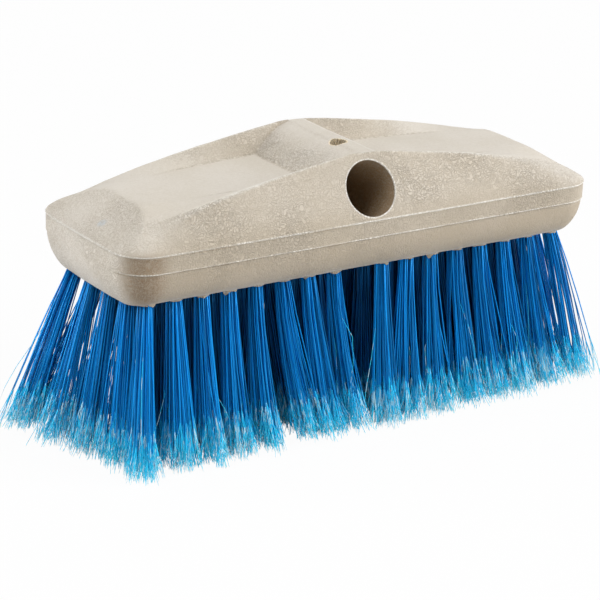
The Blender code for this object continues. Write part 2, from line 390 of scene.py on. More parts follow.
def makeFoam(mouth, outward, lockPlace):
    material, tree, shader = startMaterial("structural_foam")
    place = addNode(tree, "ShaderNodeTexCoord", {}).outputs["Object"]
    parts = addParts(tree, place)
    along, height = parts["X"], parts["Z"]
    normal = addParts(tree, addNode(tree, "ShaderNodeNewGeometry", {}).outputs["Normal"])
    mottle = addNoise(tree, place, foamLook["mottleScale"], 4.0)
    speck = addNoise(tree, place, foamLook["speckScale"], 2.0)
    sideways = addRange(tree, addMath(tree, "ABSOLUTE", normal["Y"]), *foamLook["sideFacing"])
    onSkirt = addRange(tree, height, bandBottom, bandBottom - foamLook["skirtFade"])
    colour = tintAndShadeFoam(tree, height, mottle, speck, sideways, onSkirt)
    colour = addCornerShade(tree, colour, place, height, speck)
    colour = addPartingLines(tree, colour, along, height, mottle)
    colour = addCrestLineAndCreaseShade(tree, colour, speck)
    colour = addScuff(tree, colour, place)
    colour = addHoleWalls(tree, colour, place, mouth, outward, lockPlace)
    ridge, patchy = addCrinkles(tree, place, along, normal["Z"], onSkirt)
    # Painted shade in the crinkles' grooves, along the cell edges
    hollow = addTimes(tree, addInverse(tree, ridge), patchy, foamLook["wrinkleShare"])
    colour = addMix(tree, hollow, colour, foamLook["wrinkle"])
    tree.links.new(colour, shader.inputs["Base Color"])

    # Relief: the crinkles over soft lumps and a fine open grain
    lumps = addNoise(tree, place, foamLook["lumpScale"], 3.0)
    grain = addNoise(tree, place, foamLook["grainScale"], 3.0)
    relief = None
    for strength, depth, rise in (
        (patchy, foamLook["crinkleDepth"], ridge),
        (1.0, foamLook["lumpDepth"], lumps),
        (1.0, foamLook["grainDepth"], grain),
    ):
        inputs = {"Strength": strength, "Distance": depth, "Height": rise}
        if relief:
            inputs["Normal"] = relief
        relief = addNode(tree, "ShaderNodeBump", inputs).outputs[0]
    tree.links.new(relief, shader.inputs["Normal"])
    shader.inputs["Roughness"].default_value = foamLook["roughness"]
    return material


bristleLook = {
    "columns": 168,  # of a piece's map, one for each filament of three tufts
    # Colours from a filament's root to its tip
    "stops": (
        (0.00, (0.002, 0.260, 0.840)),
        (0.25, (0.003, 0.330, 0.920)),
        (0.60, (0.006, 0.400, 0.980)),
        (0.74, (0.014, 0.520, 1.000)),
        (0.84, (0.030, 0.680, 1.000)),
        (1.00, (0.100, 0.880, 1.000)),
    ),
    "stopsShift": 0.14,
    "frayed": (0.74, 0.99, 1.0),
    "frayedShare": 0.9,
    "frayedFrom": (0.74, 0.90),
    "frayedBreaks": (0.78, 0.83),
    "threadScale": 900.0,
    "threadStretch": (1.0, 1.0, 0.25),
    "patchScale": 75.0,
    "patchShare": 0.5,
    "bleached": (0.62, 0.88, 0.93),
    "bleachedShare": 0.8,
    "bleachedFrom": 0.97,
    "shaded": (0.0005, 0.012, 0.090),
    "shadedShare": 0.92,
    "shadedAlong": (82 * mm, 94 * mm),
    "shadedAcross": (14 * mm, 20 * mm),
    "shadedHeight": (6 * mm, 26 * mm),
    "leastDepth": 0.18,
    "depthFade": (0.70, 0.86),
    "depthBend": 0.7,
    "roughness": 0.32,
    "refraction": 1.8,
    "specular": 1.0,
    "specularTint": (0.04, 0.42, 1.0),
}


def makeBristle():
    # Reads each piece's own map: u is a filament's column, v runs from its root to its tip
    material, tree, shader = startMaterial("blue_bristle")
    uv = addParts(tree, addNode(tree, "ShaderNodeUVMap", {}, uv_map="OFBake").outputs[0])
    column = addMath(tree, "FLOOR", addTimes(tree, uv["X"], bristleLook["columns"]))
    place = addNode(tree, "ShaderNodeTexCoord", {}).outputs["Object"]
    chance = addNode(
        tree, "ShaderNodeTexWhiteNoise", {"W": column}, noise_dimensions="1D"
    ).outputs["Value"]

    # Blue along the shaft, turning pale where it frays, and a few bleached filaments
    shift = addTimes(tree, addMath(tree, "SUBTRACT", chance, 0.5), bristleLook["stopsShift"])
    along = addMath(tree, "ADD", uv["Y"], shift)
    colour = addRamp(tree, along, bristleLook["stops"])
    drawnOut = addVector(tree, "MULTIPLY", place, bristleLook["threadStretch"])
    thread = addNoise(tree, drawnOut, bristleLook["threadScale"], 1.0)
    patch = addNoise(tree, place, bristleLook["patchScale"], 1.0)
    pale = addMath(tree, "ADD", thread, addTimes(tree, patch, bristleLook["patchShare"]))
    frayed = addTimes(
        tree,
        addRange(tree, along, *bristleLook["frayedFrom"]),
        addRange(tree, pale, *bristleLook["frayedBreaks"]),
        bristleLook["frayedShare"],
    )
    colour = addMix(tree, frayed, colour, bristleLook["frayed"])
    bleached = addMath(tree, "GREATER_THAN", chance, bristleLook["bleachedFrom"])
    bleached = addTimes(tree, bleached, bristleLook["bleachedShare"])
    colour = addMix(tree, bleached, colour, bristleLook["bleached"])

    # Painted shade: deep inside the brush, close under the block, the filaments darken
    sides = addParts(tree, place)
    inner = [
        addInverse(tree, addRange(tree, addMath(tree, "ABSOLUTE", sides[name]), *fade))
        for name, fade in (
            ("X", bristleLook["shadedAlong"]), ("Y", bristleLook["shadedAcross"])
        )
    ]
    inner.append(addRange(tree, sides["Z"], *bristleLook["shadedHeight"]))
    deep = addTimes(tree, *inner, bristleLook["shadedShare"])
    colour = addMix(tree, deep, colour, bristleLook["shaded"])

    # Filaments differ in depth of colour, less so where they fray
    fading = addRange(tree, along, *bristleLook["depthFade"])
    least = addTimes(tree, fading, 1.0 - bristleLook["leastDepth"])
    least = addMath(tree, "ADD", least, bristleLook["leastDepth"])
    bent = addMath(tree, "POWER", chance, bristleLook["depthBend"])
    value = addMath(tree, "ADD", addTimes(tree, bent, addInverse(tree, least)), least)
    shade = addNode(tree, "ShaderNodeHueSaturation", {"Color": colour, "Value": value})
    tree.links.new(shade.outputs[0], shader.inputs["Base Color"])
    shader.inputs["Roughness"].default_value = bristleLook["roughness"]
    shader.inputs["IOR"].default_value = bristleLook["refraction"]
    shader.inputs["Specular IOR Level"].default_value = bristleLook["specular"]
    shader.inputs["Specular Tint"].default_value = (*bristleLook["specularTint"], 1.0)
    return material


# The block, with its lengths in millimetres

block = {
    **inMetres({
        "bandHeight": 6.3,
        "bandStep": 0.5,
        "cornerRadius": 12.0,
        "endBow": 1.0,
        "sideBow": 0.3,
        "bead": 0.16,
        "beadHeight": 0.30,
        "skirtHeight": 13.8,
        "skirtInsetEnd": 5.9,
        "skirtInsetSide": 9.7,
        "undersideCorner": 4.0,
        "crestHalfSpacing": 23.2,
        "crestEndSpread": 2.1,
        "crestPeakRadius": 10.0,
        "crestDroop": 7.3,
        "crestEndInset": 9.2,
        "crestEndRise": 5.2,
        "crestEndRun": 9.0,
        "crestEndSoftness": 1.5,
        "floorRise": 13.0,
        "floorFall": 2.9,
        "floorNarrowing": 7.9,
        "floorSoftness": 0.3,
        "railWallRun": 5.7,
        "saddleHalfTop": 5.5,
        "saddleFoot": 19.2,
        "saddleSoftness": 6.0,
        "crispSoftness": 0.3,
        "wornReach": 4.0,
        "crestLineReach": 1.5,
        "ridgeLineReach": 0.6,
        "creaseReach": 0.9,
        "footReach": 0.6,
        "creaseDepth": 3.0,
        "sideFullness": 0.5,
        "endFullness": 0.3,
        "middleSoftness": 1.0,
        "endSoftness": 2.0,
        "ripple": 0.14,
        "rippleStart": 0.2,
        "socketDiameter": 20.6,
        "socketDepth": 30.0,
        "lockHoleDiameter": 7.0,
        "lockHoleReach": 18.0,
        "tuftHoleDiameter": 6.0,
        "tuftHoleDepth": 12.0,
        "drillStart": 3.0,
    }),
    "crestFall": math.radians(9.0),
    "gridCells": (380, 168),
    "gridCrowding": (1.1, 1.3),
    "bandRings": (0.3, 0.5, 0.7),
    "skirtRings": 14,
    # Shares of the bead's height and the band's step by which the band's foot turns in
    "footDrop": 0.4,
    "footEnd": 0.4,
    "footSide": 0.6,
    "skirtDrop": 0.6,
    "skirtEnd": 0.7,
    "endTuckPower": 1.8,
    "endTuckShare": 0.6,
    "endWallFade": 0.3,
    "wallTopFade": 0.10,
    "steepestWall": 0.03,
    "deepestRise": -2.0,
    "fullnessFade": (0.8, 0.17),
    "crestLineFade": (2.6, 3.2),
    "rippleScales": (55, 160),
    "fineRipple": 0.5,
    "socketSides": 96,
    "lockHoleSides": 36,
    "tuftHoleSides": 18,
    "fluteDepth": 0.16,
    "sharpestBend": math.radians(38),
}
bandBottom = underside + block["skirtHeight"]
bandTop = bandBottom + block["bandHeight"]


def softnessAt(along):
    # How widely the outer slope and the inner wall meet in a rounded crest
    share = clamped(along / (0.5 * halfLength))
    return mixed(block["middleSoftness"], block["endSoftness"], share)


def crestAt(along):
    # Half the spacing of the two crests, and the height where their two sides would meet
    share = along / halfLength
    spacing = block["crestHalfSpacing"] + block["crestEndSpread"] * share ** 2
    run = math.hypot(along, block["crestPeakRadius"]) - block["crestPeakRadius"]
    fallen = peak - math.tan(block["crestFall"]) * run - block["crestDroop"] * share ** 4
    level = softMax(fallen, bandTop + block["crestEndRise"], block["crestEndSoftness"])
    return spacing, level + softnessAt(along) / 4


def edgeHeight(along, across):
    # The outer slope, which rises from the band to the crest
    spacing, crest = crestAt(min(along, halfLength - block["crestEndInset"]))
    run = halfWidth - spacing
    corner = block["cornerRadius"]
    toEnd, toSide = halfLength - along, halfWidth - across
    inward = min(toEnd, toSide)
    if toEnd < corner and toSide < corner:
        inward = corner - math.hypot(corner - toEnd, corner - toSide)
    share = clamped(inward / run)
    start, reach = block["fullnessFade"]
    nearEnd = clamped((along - start * halfLength) / (reach * halfLength))
    fullness = mixed(block["sideFullness"], block["endFullness"], nearEnd)
    return bandTop + inward * (crest - bandTop) / run + 4 * fullness * share * (1 - share)


def trayHeight(along, across, softness):
    # The tray's floor, the rails' inner walls and the saddle in the middle, then how near the
    # place is to the saddle's ridge and to a crease
    spacing, crest = crestAt(along)
    ends = (along / halfLength) ** 2
    halfTop = block["saddleHalfTop"]
    middleFloor = bandTop + block["floorRise"]
    floor = middleFloor - block["floorFall"] * ends
    downSaddle = (along - halfTop) / (block["saddleFoot"] - halfTop)
    top = crest - softnessAt(along) / 4
    ridgeTop = crestAt(halfTop)[1] - softnessAt(halfTop) / 4
    saddle = mixed(ridgeTop, middleFloor, downSaddle)
    inner = softMax(softMin(top, saddle, softness), floor, block["floorSoftness"])
    wallRun = block["railWallRun"] + (block["crestEndSpread"] + block["floorNarrowing"]) * ends
    wallRun *= clamped(downSaddle, block["steepestWall"])
    toEnd = (halfLength - block["crestEndInset"] - along) / block["crestEndRun"]
    rise = (spacing - across) / wallRun
    up = softMin(softMin(rise, toEnd, block["endWallFade"]), 1.0, block["wallTopFade"])
    up = clamped(up, block["deepestRise"])
    ridge = nearness(top - saddle, block["ridgeLineReach"]) * clamped(rise)
    crease = nearness((rise - 1) * wallRun, block["creaseReach"])
    crease *= clamped((top - inner) / block["creaseDepth"])
    foot = nearness(saddle - floor, block["footReach"]) * clamped(2 * (rise - 1))
    return crest + (inner - crest) * up, ridge, max(crease, foot)


def topHeight(x, y):
    # The block's top at a place, with how strong its crest's pale line of wear and painted
    # highlight is, and how near a crease is
    along, across = abs(x), abs(y)
    outer = edgeHeight(along, across)
    # The saddle's left ridge is worn round, and its right one is crisp, with a painted
    # highlight along it
    worn = clamped(0.5 - x / block["wornReach"])
    softness = mixed(block["crispSoftness"], block["saddleSoftness"], worn)
    inner, ridge, crease = trayHeight(along, across, softness)
    most, fall = block["crestLineFade"]
    crest = nearness(outer - inner, block["crestLineReach"])
    crest *= clamped(most - fall * along / halfLength)
    return softMin(outer, inner, softnessAt(along)), max(crest, ridge * (1 - worn)), crease


def planPlace(u, v, length, width, corner):
    # A square from -1 to 1 becomes a rounded rectangle, with its corner squares drawn in
    along, across = abs(u) * length, abs(v) * width
    pastEnd, pastSide = along - (length - corner), across - (width - corner)
    if pastEnd > 0 and pastSide > 0:
        pull = max(pastEnd, pastSide) / math.hypot(pastEnd, pastSide) - 1
        along += pastEnd * pull
        across += pastSide * pull
    along *= 1 - block["endBow"] / length * (across / width) ** 2
    across *= 1 - block["sideBow"] / width * (along / length) ** 2
    return math.copysign(along, u), math.copysign(across, v)


def outlineRings():
    # Below the top's edge: the band with a bead at each parting line, then the skirt
    band, bead, step = block["bandHeight"], block["beadHeight"], block["bandStep"]
    corner = block["cornerRadius"]
    rings = [(bandTop - bead, 0.0, 0.0, corner)]
    rings += [(bandTop - share * band, 0.0, 0.0, corner) for share in block["bandRings"]]
    rings.append((bandTop - (band - bead), 0.0, 0.0, corner))
    rings.append((bandTop - band, 0.0, -block["bead"], corner))
    drop = band + block["footDrop"] * bead
    footEnd, footSide = block["footEnd"] * step, block["footSide"] * step
    rings.append((bandTop - drop, footEnd, footSide, corner))
    for ring in range(block["skirtRings"] + 1):
        lean = math.pi / 2 * ring / block["skirtRings"]
        tuck = 1 - math.cos(lean)
        endTuck = mixed(tuck, math.sin(lean) ** block["endTuckPower"], block["endTuckShare"])
        height = underside + block["skirtHeight"] * (1 - math.sin(lean))
        rings.append(
            (
                height - block["skirtDrop"] * bead * (1 - tuck),
                mixed(block["skirtEnd"] * step, step + block["skirtInsetEnd"], endTuck),
                step + block["skirtInsetSide"] * tuck,
                mixed(corner - step, block["undersideCorner"], tuck),
            )
        )
    return rings


def makeShell(material):
    shell = bmesh.new()
    alongCells, acrossCells = block["gridCells"]
    bmesh.ops.create_grid(shell, x_segments=alongCells, y_segments=acrossCells, size=1.0)
    plan = shell.verts.layers.float_vector.new("plan")
    # worn: the crests' pale line of wear and painted highlight; crease: where creases get painted
    # shade
    worn = shell.verts.layers.float.new("worn")
    crease = shell.verts.layers.float.new("crease")
    for vert in shell.verts:
        # The cells crowd towards the edges, where the block is rounded
        u, v = (
            math.copysign(1 - (1 - min(abs(part), 1.0)) ** power, part)
            for part, power in zip(vert.co.xy, block["gridCrowding"])
        )
        vert[plan] = (u, v, 0.0)
        x, y = planPlace(u, v, halfLength, halfWidth, block["cornerRadius"])
        height, vert[worn], vert[crease] = topHeight(x, y)
        vert.co = (x, y, height)
    edges = [edge for edge in shell.edges if edge.is_boundary]
    length, width = halfLength + block["bead"], halfWidth + block["bead"]
    for vert in {vert for edge in edges for vert in edge.verts}:
        u, v = vert[plan].xy
        vert.co = (*planPlace(u, v, length, width, block["cornerRadius"]), bandTop)
    for height, insetEnd, insetSide, corner in outlineRings():
        made = bmesh.ops.extrude_edge_only(shell, edges=edges)["geom"]
        verts = {part for part in made if isinstance(part, bmesh.types.BMVert)}
        for vert in verts:
            u, v = vert[plan].xy
            place = planPlace(u, v, halfLength - insetEnd, halfWidth - insetSide, corner)
            vert.co = (*place, height)
        edges = [
            edge for edge in {edge for vert in verts for edge in vert.link_edges}
            if edge.verts[0] in verts and edge.verts[1] in verts
        ]
    bmesh.ops.contextual_create(shell, geom=edges)
    bmesh.ops.recalc_face_normals(shell, faces=shell.faces)
    shell.normal_update()
    coarse, fine = block["rippleScales"]
    moved = []
    for vert in shell.verts:
        if vert.co.z > underside + block["rippleStart"]:
            swell = noise.noise(vert.co * coarse)
            swell += block["fineRipple"] * noise.noise(vert.co * fine)
            moved.append((vert, vert.normal * swell * block["ripple"]))
    for vert, step in moved:
        vert.co += step
    return meshObject("foam_block", shell, material)


def drillInto(builder, mouth, inward, radius, depth, sides):
    # A drill's cylinder, which starts a little outside the mouth
    start = block["drillStart"]
    middle = Matrix.Translation(mouth + inward * (depth - start) / 2)
    turn = inward.to_track_quat("Z", "Y").to_matrix().to_4x4()
    bmesh.ops.create_cone(
        builder,
        cap_ends=True,
        segments=sides,
        radius1=radius,
        radius2=radius,
        depth=depth + start,
        matrix=middle @ turn,
    )


def cutHoles(body, drills, material):
    for name, drill in drills.items():
        cutter = meshObject(name, drill, material)
        boolean = body.modifiers.new(name, "BOOLEAN")
        boolean.operation = "DIFFERENCE"
        boolean.object = cutter
    graph = bpy.context.evaluated_depsgraph_get()
    cut = bpy.data.meshes.new_from_object(body.evaluated_get(graph))
    body.modifiers.clear()
    body.data = cut
    for name in drills:
        bpy.data.objects.remove(bpy.data.objects[name])


def makeBlock(tufts):
    seat = next(mount for mount in record["mounts"] if mount["name"] == "handle_seat")
    outward = Vector(seat["axis"])
    mouth = Vector(seat["pos_m"]) + outward * block["socketDepth"]
    openings = {opening["name"]: opening for opening in record["physics"]["openings"]}
    low, high = openings["lock_hole"]["box_m"]
    lockX, lockY = (low[0] + high[0]) / 2, (low[1] + high[1]) / 2
    foam = makeFoam(mouth, outward, (lockX, lockY, 0.0))
    body = makeShell(foam)
    drills = {name: bmesh.new() for name in ("socket_drill", "lock_drill", "tuft_drills")}
    drillInto(
        drills["socket_drill"], mouth, -outward,
        block["socketDiameter"] / 2, block["socketDepth"], block["socketSides"],
    )
    # Its negative has negative noughts, unlike upAxis, and the drills' corners turn with them
    down = Vector((0.0, 0.0, -1.0))
    drillInto(
        drills["lock_drill"], Vector((lockX, lockY, peak)), down,
        block["lockHoleDiameter"] / 2, block["lockHoleReach"], block["lockHoleSides"],
    )
    for index, vert in enumerate(drills["lock_drill"].verts):
        # Shallow flutes down the lock hole's wall
        if index % 4 < 2:
            vert.co.x = mixed(vert.co.x, lockX, block["fluteDepth"])
            vert.co.y = mixed(vert.co.y, lockY, block["fluteDepth"])
    for x, y in tufts:
        drillInto(
            drills["tuft_drills"], Vector((x, y, underside)), -down,
            block["tuftHoleDiameter"] / 2, block["tuftHoleDepth"], block["tuftHoleSides"],
        )
    cutHoles(body, drills, foam)
    body.data.shade_smooth()
    body.data.set_sharp_from_angle(angle=block["sharpestBend"])
    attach(body, "root")
    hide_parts("brush_block")
    print("block:", len(body.data.polygons), "faces")
    return foam


burr = {
    **inMetres({
        "rimRadius": 3.1,
        "thickness": 0.4,
        "sunk": 0.6,
        "leastHang": 0.15,
        "mostHang": 1.1,
    }),
    "seed": 53,
    "chips": 4,
    "chipHalfAngle": 0.45,
    "chipBend": 1.6,
    "rimSides": 32,
    "hangSpread": (0.7, 1.1),
    "push": (-0.02, 0.10),
}


def makeBurrs(tufts, material):
    # Ragged foam round the mouths of the front tuft holes, where the skin broke
    rng = np.random.default_rng(burr["seed"])
    ragged = bmesh.new()
    frontRow = min(y for x, y in tufts)
    for x, y in tufts:
        if y > frontRow + mm:
            continue
        rim = bmesh.ops.create_cone(
            ragged,
            cap_ends=False,
            segments=burr["rimSides"],
            radius1=burr["rimRadius"],
            radius2=burr["rimRadius"],
            depth=2 * burr["sunk"],
            matrix=Matrix.Translation((x, y, underside)),
        )["verts"]
        chips = rng.uniform(-math.pi, math.pi, burr["chips"])
        hangs = rng.uniform(0, 1, burr["chips"]) ** burr["chipBend"] * burr["mostHang"]
        for vert in rim:
            if vert.co.z > underside:
                continue
            angle = math.atan2(vert.co.y - y, vert.co.x - x)
            turns = np.abs((angle - chips + math.pi) % fullTurn - math.pi)
            near = np.clip(1 - turns / burr["chipHalfAngle"], 0, 1)
            hang = burr["leastHang"] + (hangs * near).sum()
            vert.co.z = underside - hang * rng.uniform(*burr["hangSpread"])
            push = 1 + rng.uniform(*burr["push"])
            vert.co.x, vert.co.y = mixed(x, vert.co.x, push), mixed(y, vert.co.y, push)
    bmesh.ops.solidify(ragged, geom=ragged.faces[:], thickness=burr["thickness"])
    bmesh.ops.recalc_face_normals(ragged, faces=ragged.faces)
    piece = meshObject("foam_burrs", ragged, material)
    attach(piece, "root")
    print("burrs:", len(piece.data.polygons), "faces")


# The bristles. A strand is a shaft, one of the fibres that it splits into, or a loose
# thread, and each has its steps along its length and its thickness at each step.

bristle = {
    **inMetres({
        "shaftRadius": 0.25,
        "fibreRadius": 0.14,
        "threadRadius": 0.10,
        "rootReach": 2.7,
        "tipReach": 5.5,
        "endTipReach": 6.3,
        "rootDepth": 2.0,
        "scatter": 1.2,
        "trimScatter": 0.5,
        "wave": 0.22,
        "strayLean": 4.5,
        "widest": 8.5,
        "fibreSpread": 1.7,
        "fibreCurl": 0.75,
        "farthest": 4.0,
        "threadCurl": 2.2,
        "frontOut": 3.0,
        "backOut": 3.0,
    }),
    "seed": 700,
    "filaments": 56,
    "fibres": 5,
    "threads": 2,
    "points": 6,
    "split": (0.70, 0.80),
    "overlap": 0.02,
    "bow": (1.0, 1.6),
    "endBow": 0.92,
    "waveTurn": 5,
    "strayChance": 0.05,
    "shaftThickness": (0.85, 1.1),
    "shaftSteps": np.array((0.0, 0.004, 0.33, 0.66, 0.99, 1.0)),
    "shaftTaper": np.array((0.0, 1.0, 1.0, 1.0, 0.8, 0.0)),
    "broken": 0.3,
    "brokenBend": 2.5,
    "wildChance": 0.08,
    "wildReach": 3.0,
    "fibreStart": 0.6,
    "fibreBend": 1.3,
    "fibreTurn": (4, 11),
    "fibreRise": 0.3,
    "fibreThickness": (0.7, 1.15),
    "fibreSteps": np.array((0.0, 0.02, 0.34, 0.67, 0.97, 1.0)),
    "fibreTaper": np.array((0.0, 1.0, 1.0, 0.85, 0.6, 0.0)),
    "threadStart": (0.25, 0.85),
    "threadLength": 0.8,
    "threadCurls": (0.4, 1.3),
    "threadTurn": (2, 6),
    "threadOut": 0.5,
    "threadRise": 0.7,
    "threadSteps": np.array((0.0, 0.1, 0.35, 0.6, 0.85, 1.0)),
    "threadTaper": np.array((0.0, 1.0, 1.0, 1.0, 0.8, 0.0)),
    # Where on the colours from root to tip each kind of strand starts and ends
    "shaftSpan": (0.0, 0.75),
    "fibreSpan": (0.75, 1.0),
    "threadSpan": (0.86, 1.0),
    # How far each front tuft's tips lean along the block, in millimetres, left to right
    "frontLean": (
        -2.0, 3.0, 4.5, 5.0, 7.0, 13.5, 11.0, 10.5, 2.6, 2.5, 6.5, 9.5, 11.0, 12.0, 13.0, 17.5,
    ),
    "backLean": (
        -21.5, -26.0, -19.0, -11.0, -6.0, -2.0, 0.0, 2.0,
        4.0, 6.0, 8.0, 10.0, 12.0, 14.0, 15.0, 17.0,
    ),
    "leanBend": 1.6,
    "endPower": 4,
    "columnMargin": 0.1,
    "mergeReach": 1e-7,
}


def rootsOf(node):
    # The upper end of each tuft's plug in the frame shows where the tuft stands
    roots = []
    for vert in node.data.vertices:
        if vert.co.z < underside + block["tuftHoleDepth"] / 2:
            continue
        for root in roots:
            if (root[0] - vert.co.xy).length < block["tuftHoleDiameter"]:
                root.append(vert.co.xy)
                break
        else:
            roots.append([vert.co.xy])
    return [sum(root, Vector((0.0, 0.0))) / len(root) for root in roots]


def leanAt(x, y, columns, rows):
    depth = clamped((y - rows[0]) / (rows[-1] - rows[0])) ** bristle["leanBend"]
    front = np.interp(x, columns, bristle["frontLean"])
    back = np.interp(x, columns, bristle["backLean"])
    out = bristle["backOut"] if y > 0 else bristle["frontOut"]
    return np.array((mixed(front, back, depth) * mm, out * y / rows[-1]))


def startTuft(x, y, lean, ends, rng):
    # Where each shaft starts, ends and is trimmed, and how it bows and waves
    count = bristle["filaments"]
    angle = rng.uniform(0, fullTurn, count)
    reach = np.sqrt(rng.uniform(0, 1, count))
    disc = np.stack([reach * np.cos(angle), reach * np.sin(angle)], 1)
    tip = disc * mixed(bristle["tipReach"], bristle["endTipReach"], ends)
    tip += lean + rng.normal(0, bristle["scatter"], (count, 2))
    stray = rng.uniform(0, 1, count) < bristle["strayChance"]
    tip[stray] += rng.normal(0, bristle["strayLean"], (stray.sum(), 2))
    lift = underside - np.sqrt(underside ** 2 - (lean ** 2).sum())
    return {
        "place": (x, y),
        "root": disc * bristle["rootReach"],
        "tip": lean + np.clip(tip - lean, -bristle["widest"], bristle["widest"]),
        "tipHeight": lift + np.abs(rng.normal(0, bristle["trimScatter"], count)),
        "bow": mixed(rng.uniform(*bristle["bow"], count), bristle["endBow"], ends),
        "phase": rng.uniform(0, fullTurn, count),
    }


def pathsAt(tuft, which, share):
    # Points of the chosen shafts at shares of their length
    share = np.clip(share, 0.0, 1.0)
    x, y = tuft["place"]
    root, tip = tuft["root"], tuft["tip"]
    bent = share ** tuft["bow"][which][:, None]
    flat = root[which][:, None] + (tip - root)[which][:, None] * bent[..., None]
    turn = tuft["phase"][which][:, None] + bristle["waveTurn"] * share
    swing = bristle["wave"] * np.sin(turn) * share
    top = underside + bristle["rootDepth"]
    height = mixed(top, tuft["tipHeight"][which][:, None], share)
    return np.stack([x + flat[..., 0] + swing, y + flat[..., 1] - swing, height], 2)


def makeShafts(tuft, rng):
    everyOne = np.arange(bristle["filaments"])
    split = rng.uniform(*bristle["split"], len(everyOne))
    share = (split + bristle["overlap"])[:, None] * bristle["shaftSteps"]
    thickness = rng.uniform(*bristle["shaftThickness"], len(everyOne))[:, None]
    radii = thickness * bristle["shaftTaper"] * bristle["shaftRadius"]
    return pathsAt(tuft, everyOne, share), radii, split


def makeFibres(tuft, split, rng):
    # Each shaft splits into fibres that spread and curl, a few of them wildly
    owner = np.repeat(np.arange(len(split)), bristle["fibres"])
    total = len(owner)
    steps = bristle["fibreSteps"]
    length = 1 - bristle["broken"] * rng.uniform(0, 1, total) ** bristle["brokenBend"]
    share = split[owner][:, None] + ((1 - split[owner]) * length)[:, None] * steps
    paths = pathsAt(tuft, owner, share)
    turn = rng.uniform(0, fullTurn, total)
    isWild = rng.uniform(0, 1, total) < bristle["wildChance"]
    wild = np.where(isWild, bristle["wildReach"], 1.0)
    spread = np.abs(rng.normal(0, bristle["fibreSpread"], total)) * wild
    spread = np.minimum(spread, bristle["farthest"])
    away = bristle["fibreRadius"] * bristle["fibreStart"]
    away = away + spread[:, None] * steps ** bristle["fibreBend"]
    phase = rng.uniform(0, fullTurn, total)[:, None]
    phase = phase + rng.uniform(*bristle["fibreTurn"], total)[:, None] * steps
    curl = bristle["fibreCurl"] * wild[:, None] * steps * np.sin(phase)
    paths[..., 0] += away * np.cos(turn)[:, None] - curl * np.sin(turn)[:, None]
    paths[..., 1] += away * np.sin(turn)[:, None] + curl * np.cos(turn)[:, None]
    height = paths[..., 2] + bristle["fibreRise"] * curl
    paths[..., 2] = np.maximum(height, bristle["fibreRadius"])
    radii = bristle["fibreTaper"] * bristle["fibreRadius"]
    return paths, rng.uniform(*bristle["fibreThickness"], total)[:, None] * radii


def makeThreads(tuft, rng):
    # Loose threads that curl off the outside of the tuft
    count = bristle["threads"]
    steps = bristle["threadSteps"]
    start = rng.uniform(*bristle["threadStart"], count)[:, None]
    share = start + (1 - start) * bristle["threadLength"] * steps
    paths = pathsAt(tuft, rng.integers(0, bristle["filaments"], count), share)
    phase = rng.uniform(0, fullTurn, (2, count))[..., None]
    curl = bristle["threadCurl"] * rng.uniform(*bristle["threadCurls"], count)[:, None]
    turn = rng.uniform(*bristle["threadTurn"], count)[:, None] * steps
    turned = np.sin(phase + turn) - np.sin(phase)
    outward = math.copysign(bristle["threadOut"], tuft["place"][1] - mm)
    paths[..., 0] += curl * turned[0]
    paths[..., 1] += outward * curl * np.sin(np.pi * steps)
    height = paths[..., 2] + bristle["threadRise"] * curl * turned[1]
    height = np.maximum(height, bristle["fibreRadius"])
    paths[..., 2] = np.minimum(height, underside - mm)
    radii = bristle["threadTaper"] * bristle["threadRadius"]
    return paths, np.repeat(radii[None], count, 0)


def makeStrands(root, lean, ends, rng):
    tuft = startTuft(root.x, root.y, lean, ends, rng)
    shafts, shaftRadii, split = makeShafts(tuft, rng)
    fibres, fibreRadii = makeFibres(tuft, split, rng)
    threads, threadRadii = makeThreads(tuft, rng)
    return (
        np.concatenate([shafts, fibres, threads]),
        np.concatenate([shaftRadii, fibreRadii, threadRadii]),
    )


def drawTubes(name, paths, radii):
    # One mesh of four-sided tubes along the paths
    curve = bpy.data.curves.new(name + "_paths", "CURVE")
    curve.dimensions = "3D"
    curve.bevel_depth = mm
    curve.bevel_resolution = 0
    for path, radius in zip(paths, radii):
        spline = curve.splines.new("POLY")
        spline.points.add(bristle["points"] - 1)
        spline.points.foreach_set("co", np.pad(path, ((0, 0), (0, 1))).ravel())
        spline.points.foreach_set("radius", radius / mm)
    drawn = bpy.data.objects.new(name + "_paths", curve)
    bpy.context.scene.collection.objects.link(drawn)
    graph = bpy.context.evaluated_depsgraph_get()
    mesh = bpy.data.meshes.new_from_object(drawn.evaluated_get(graph))
    bpy.data.objects.remove(drawn)
    return mesh


def makeBundle(name, paths, radii, columns, spans, material):
    # The tubes as one closed piece, with a map whose columns are filaments
    mesh = drawTubes(name, paths, radii)
    owner = np.zeros(len(mesh.loops), np.int32)
    mesh.loops.foreach_get("vertex_index", owner)
    owner //= 4 * bristle["points"]
    layer = mesh.uv_layers[0]
    layer.name = "OFBake"
    uv = np.zeros(2 * len(owner), np.float32)
    layer.uv.foreach_get("vector", uv)
    uv = uv.reshape(-1, 2)
    margin = bristle["columnMargin"]
    across = columns[owner] + margin + (1 - 2 * margin) * uv[:, 1]
    across = across / bristleLook["columns"]
    along = mixed(spans[owner, 0], spans[owner, 1], uv[:, 0])
    mapped = np.stack([across, along], 1).astype(np.float32)
    layer.uv.foreach_set("vector", mapped.ravel())
    closed = bmesh.new()
    closed.from_mesh(mesh)
    bmesh.ops.remove_doubles(closed, verts=closed.verts, dist=bristle["mergeReach"])
    bpy.data.meshes.remove(mesh)
    piece = meshObject(name, closed, material)
    piece.data.shade_smooth()
    return piece


